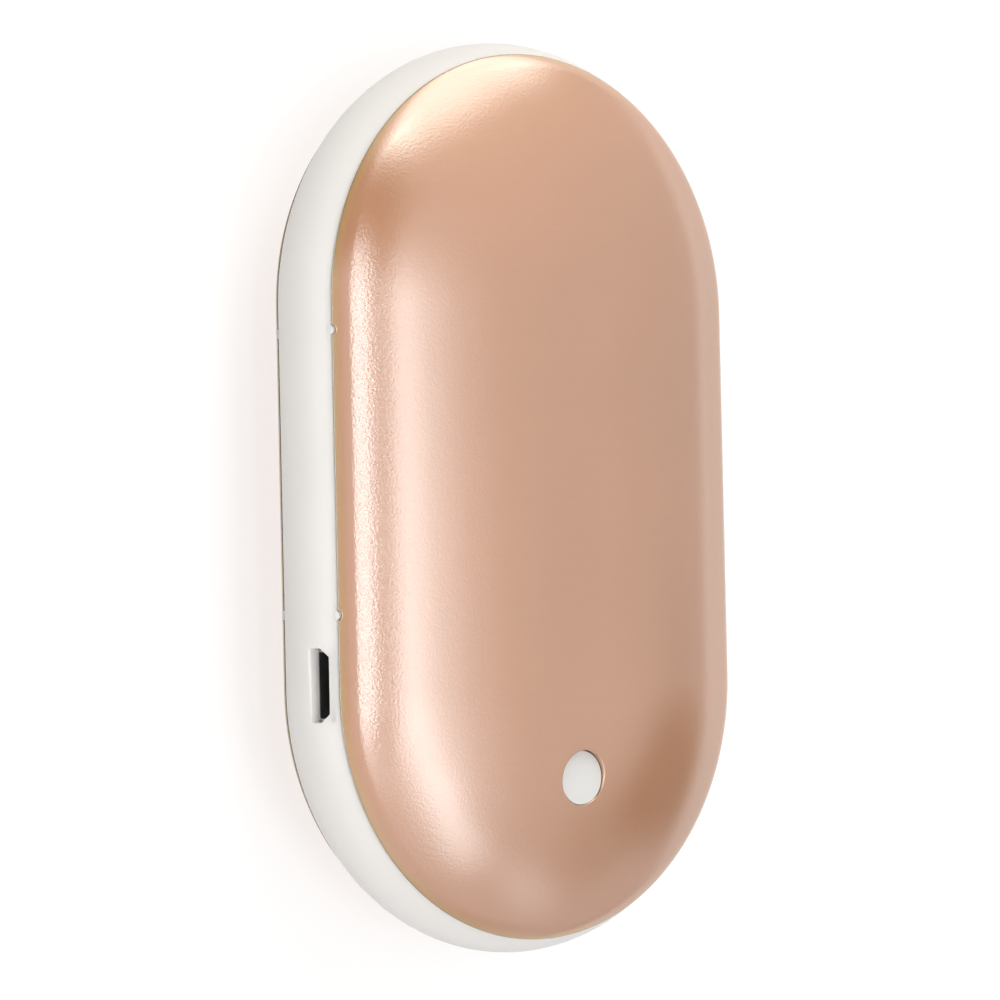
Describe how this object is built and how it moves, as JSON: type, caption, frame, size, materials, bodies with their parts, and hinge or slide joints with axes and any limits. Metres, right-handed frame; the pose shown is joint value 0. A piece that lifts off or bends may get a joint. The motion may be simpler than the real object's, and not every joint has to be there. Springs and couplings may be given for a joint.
{
  "type": "rechargeable hand warmer",
  "caption": "Pebble-shaped pocket hand warmer: domed metal covers on a plastic band with a charging slot in its flank, and a sunk round push button.",
  "frame": {"origin": "centre of the flat land of the back cover, on which it lies", "axes": "+Z out of the front cover with the button, +Y along the length away from the button, +X away from the charging slot"},
  "size_m": [0.059, 0.1, 0.024],
  "materials": {
    "rose_gold": "fine bead-blasted and anodised rose gold",
    "white_plastic": "satin moulded white",
    "button_white": "satin moulded translucent white",
    "chassis_plastic": "plain moulded dark grey",
    "cell_foil": "satin foil pouch",
    "foam": "soft closed-cell foam",
    "film": "amber polyimide film",
    "board_green": "solder mask over glass laminate",
    "steel": "plated steel",
    "contact_gold": "gold flash plating",
    "nickel": "nickel strip",
    "black_plastic": "black moulded resin",
    "chip_ceramic": "fired ceramic with tinned ends",
    "lamp_resin": "clear yellow resin",
    "red_sleeve": "soft insulation",
    "black_sleeve": "soft insulation",
    "white_sleeve": "soft insulation"
  },
  "bodies": {
    "housing": {"front_shell": "rose_gold", "back_shell": "rose_gold", "middle_frame": "white_plastic", "inner_chassis": "chassis_plastic", "circuit_board": "board_green", "board_screws": "steel", "chassis_screws": "steel", "front_heater_film": "film", "back_heater_film": "film", "front_foam_pad": "foam", "back_foam_pad": "foam", "front_cell": "cell_foil", "back_cell": "cell_foil", "divider_pad": "foam", "protection_board": "board_green", "cell_tabs": "nickel", "usb_shell": "steel", "usb_tongue": "black_plastic", "usb_contacts": "contact_gold", "switch_base": "black_plastic", "switch_cover": "steel", "switch_dome": "steel", "switch_legs": "steel", "charge_chip": "black_plastic", "control_chip": "black_plastic", "heater_transistors": "black_plastic", "chip_capacitors": "chip_ceramic", "chip_resistors": "chip_ceramic", "status_leds": "lamp_resin", "thermistor": "black_plastic", "thermistor_leads": "white_sleeve", "battery_lead_red": "red_sleeve", "battery_lead_black": "black_sleeve", "front_heater_leads": "white_sleeve", "back_heater_leads": "white_sleeve"},
    "button": {"button_cap": "button_white", "switch_plunger": "black_plastic"}
  },
  "joints": [
    {"name": "button_press", "type": "slide", "parent": "housing", "child": "button", "axis": [0, 0, -1], "range_m": [0, 0.0004], "stiffness_N_per_m": 3000, "springref_m": -0.0002, "deforming": ["switch_dome"]}
  ]
}
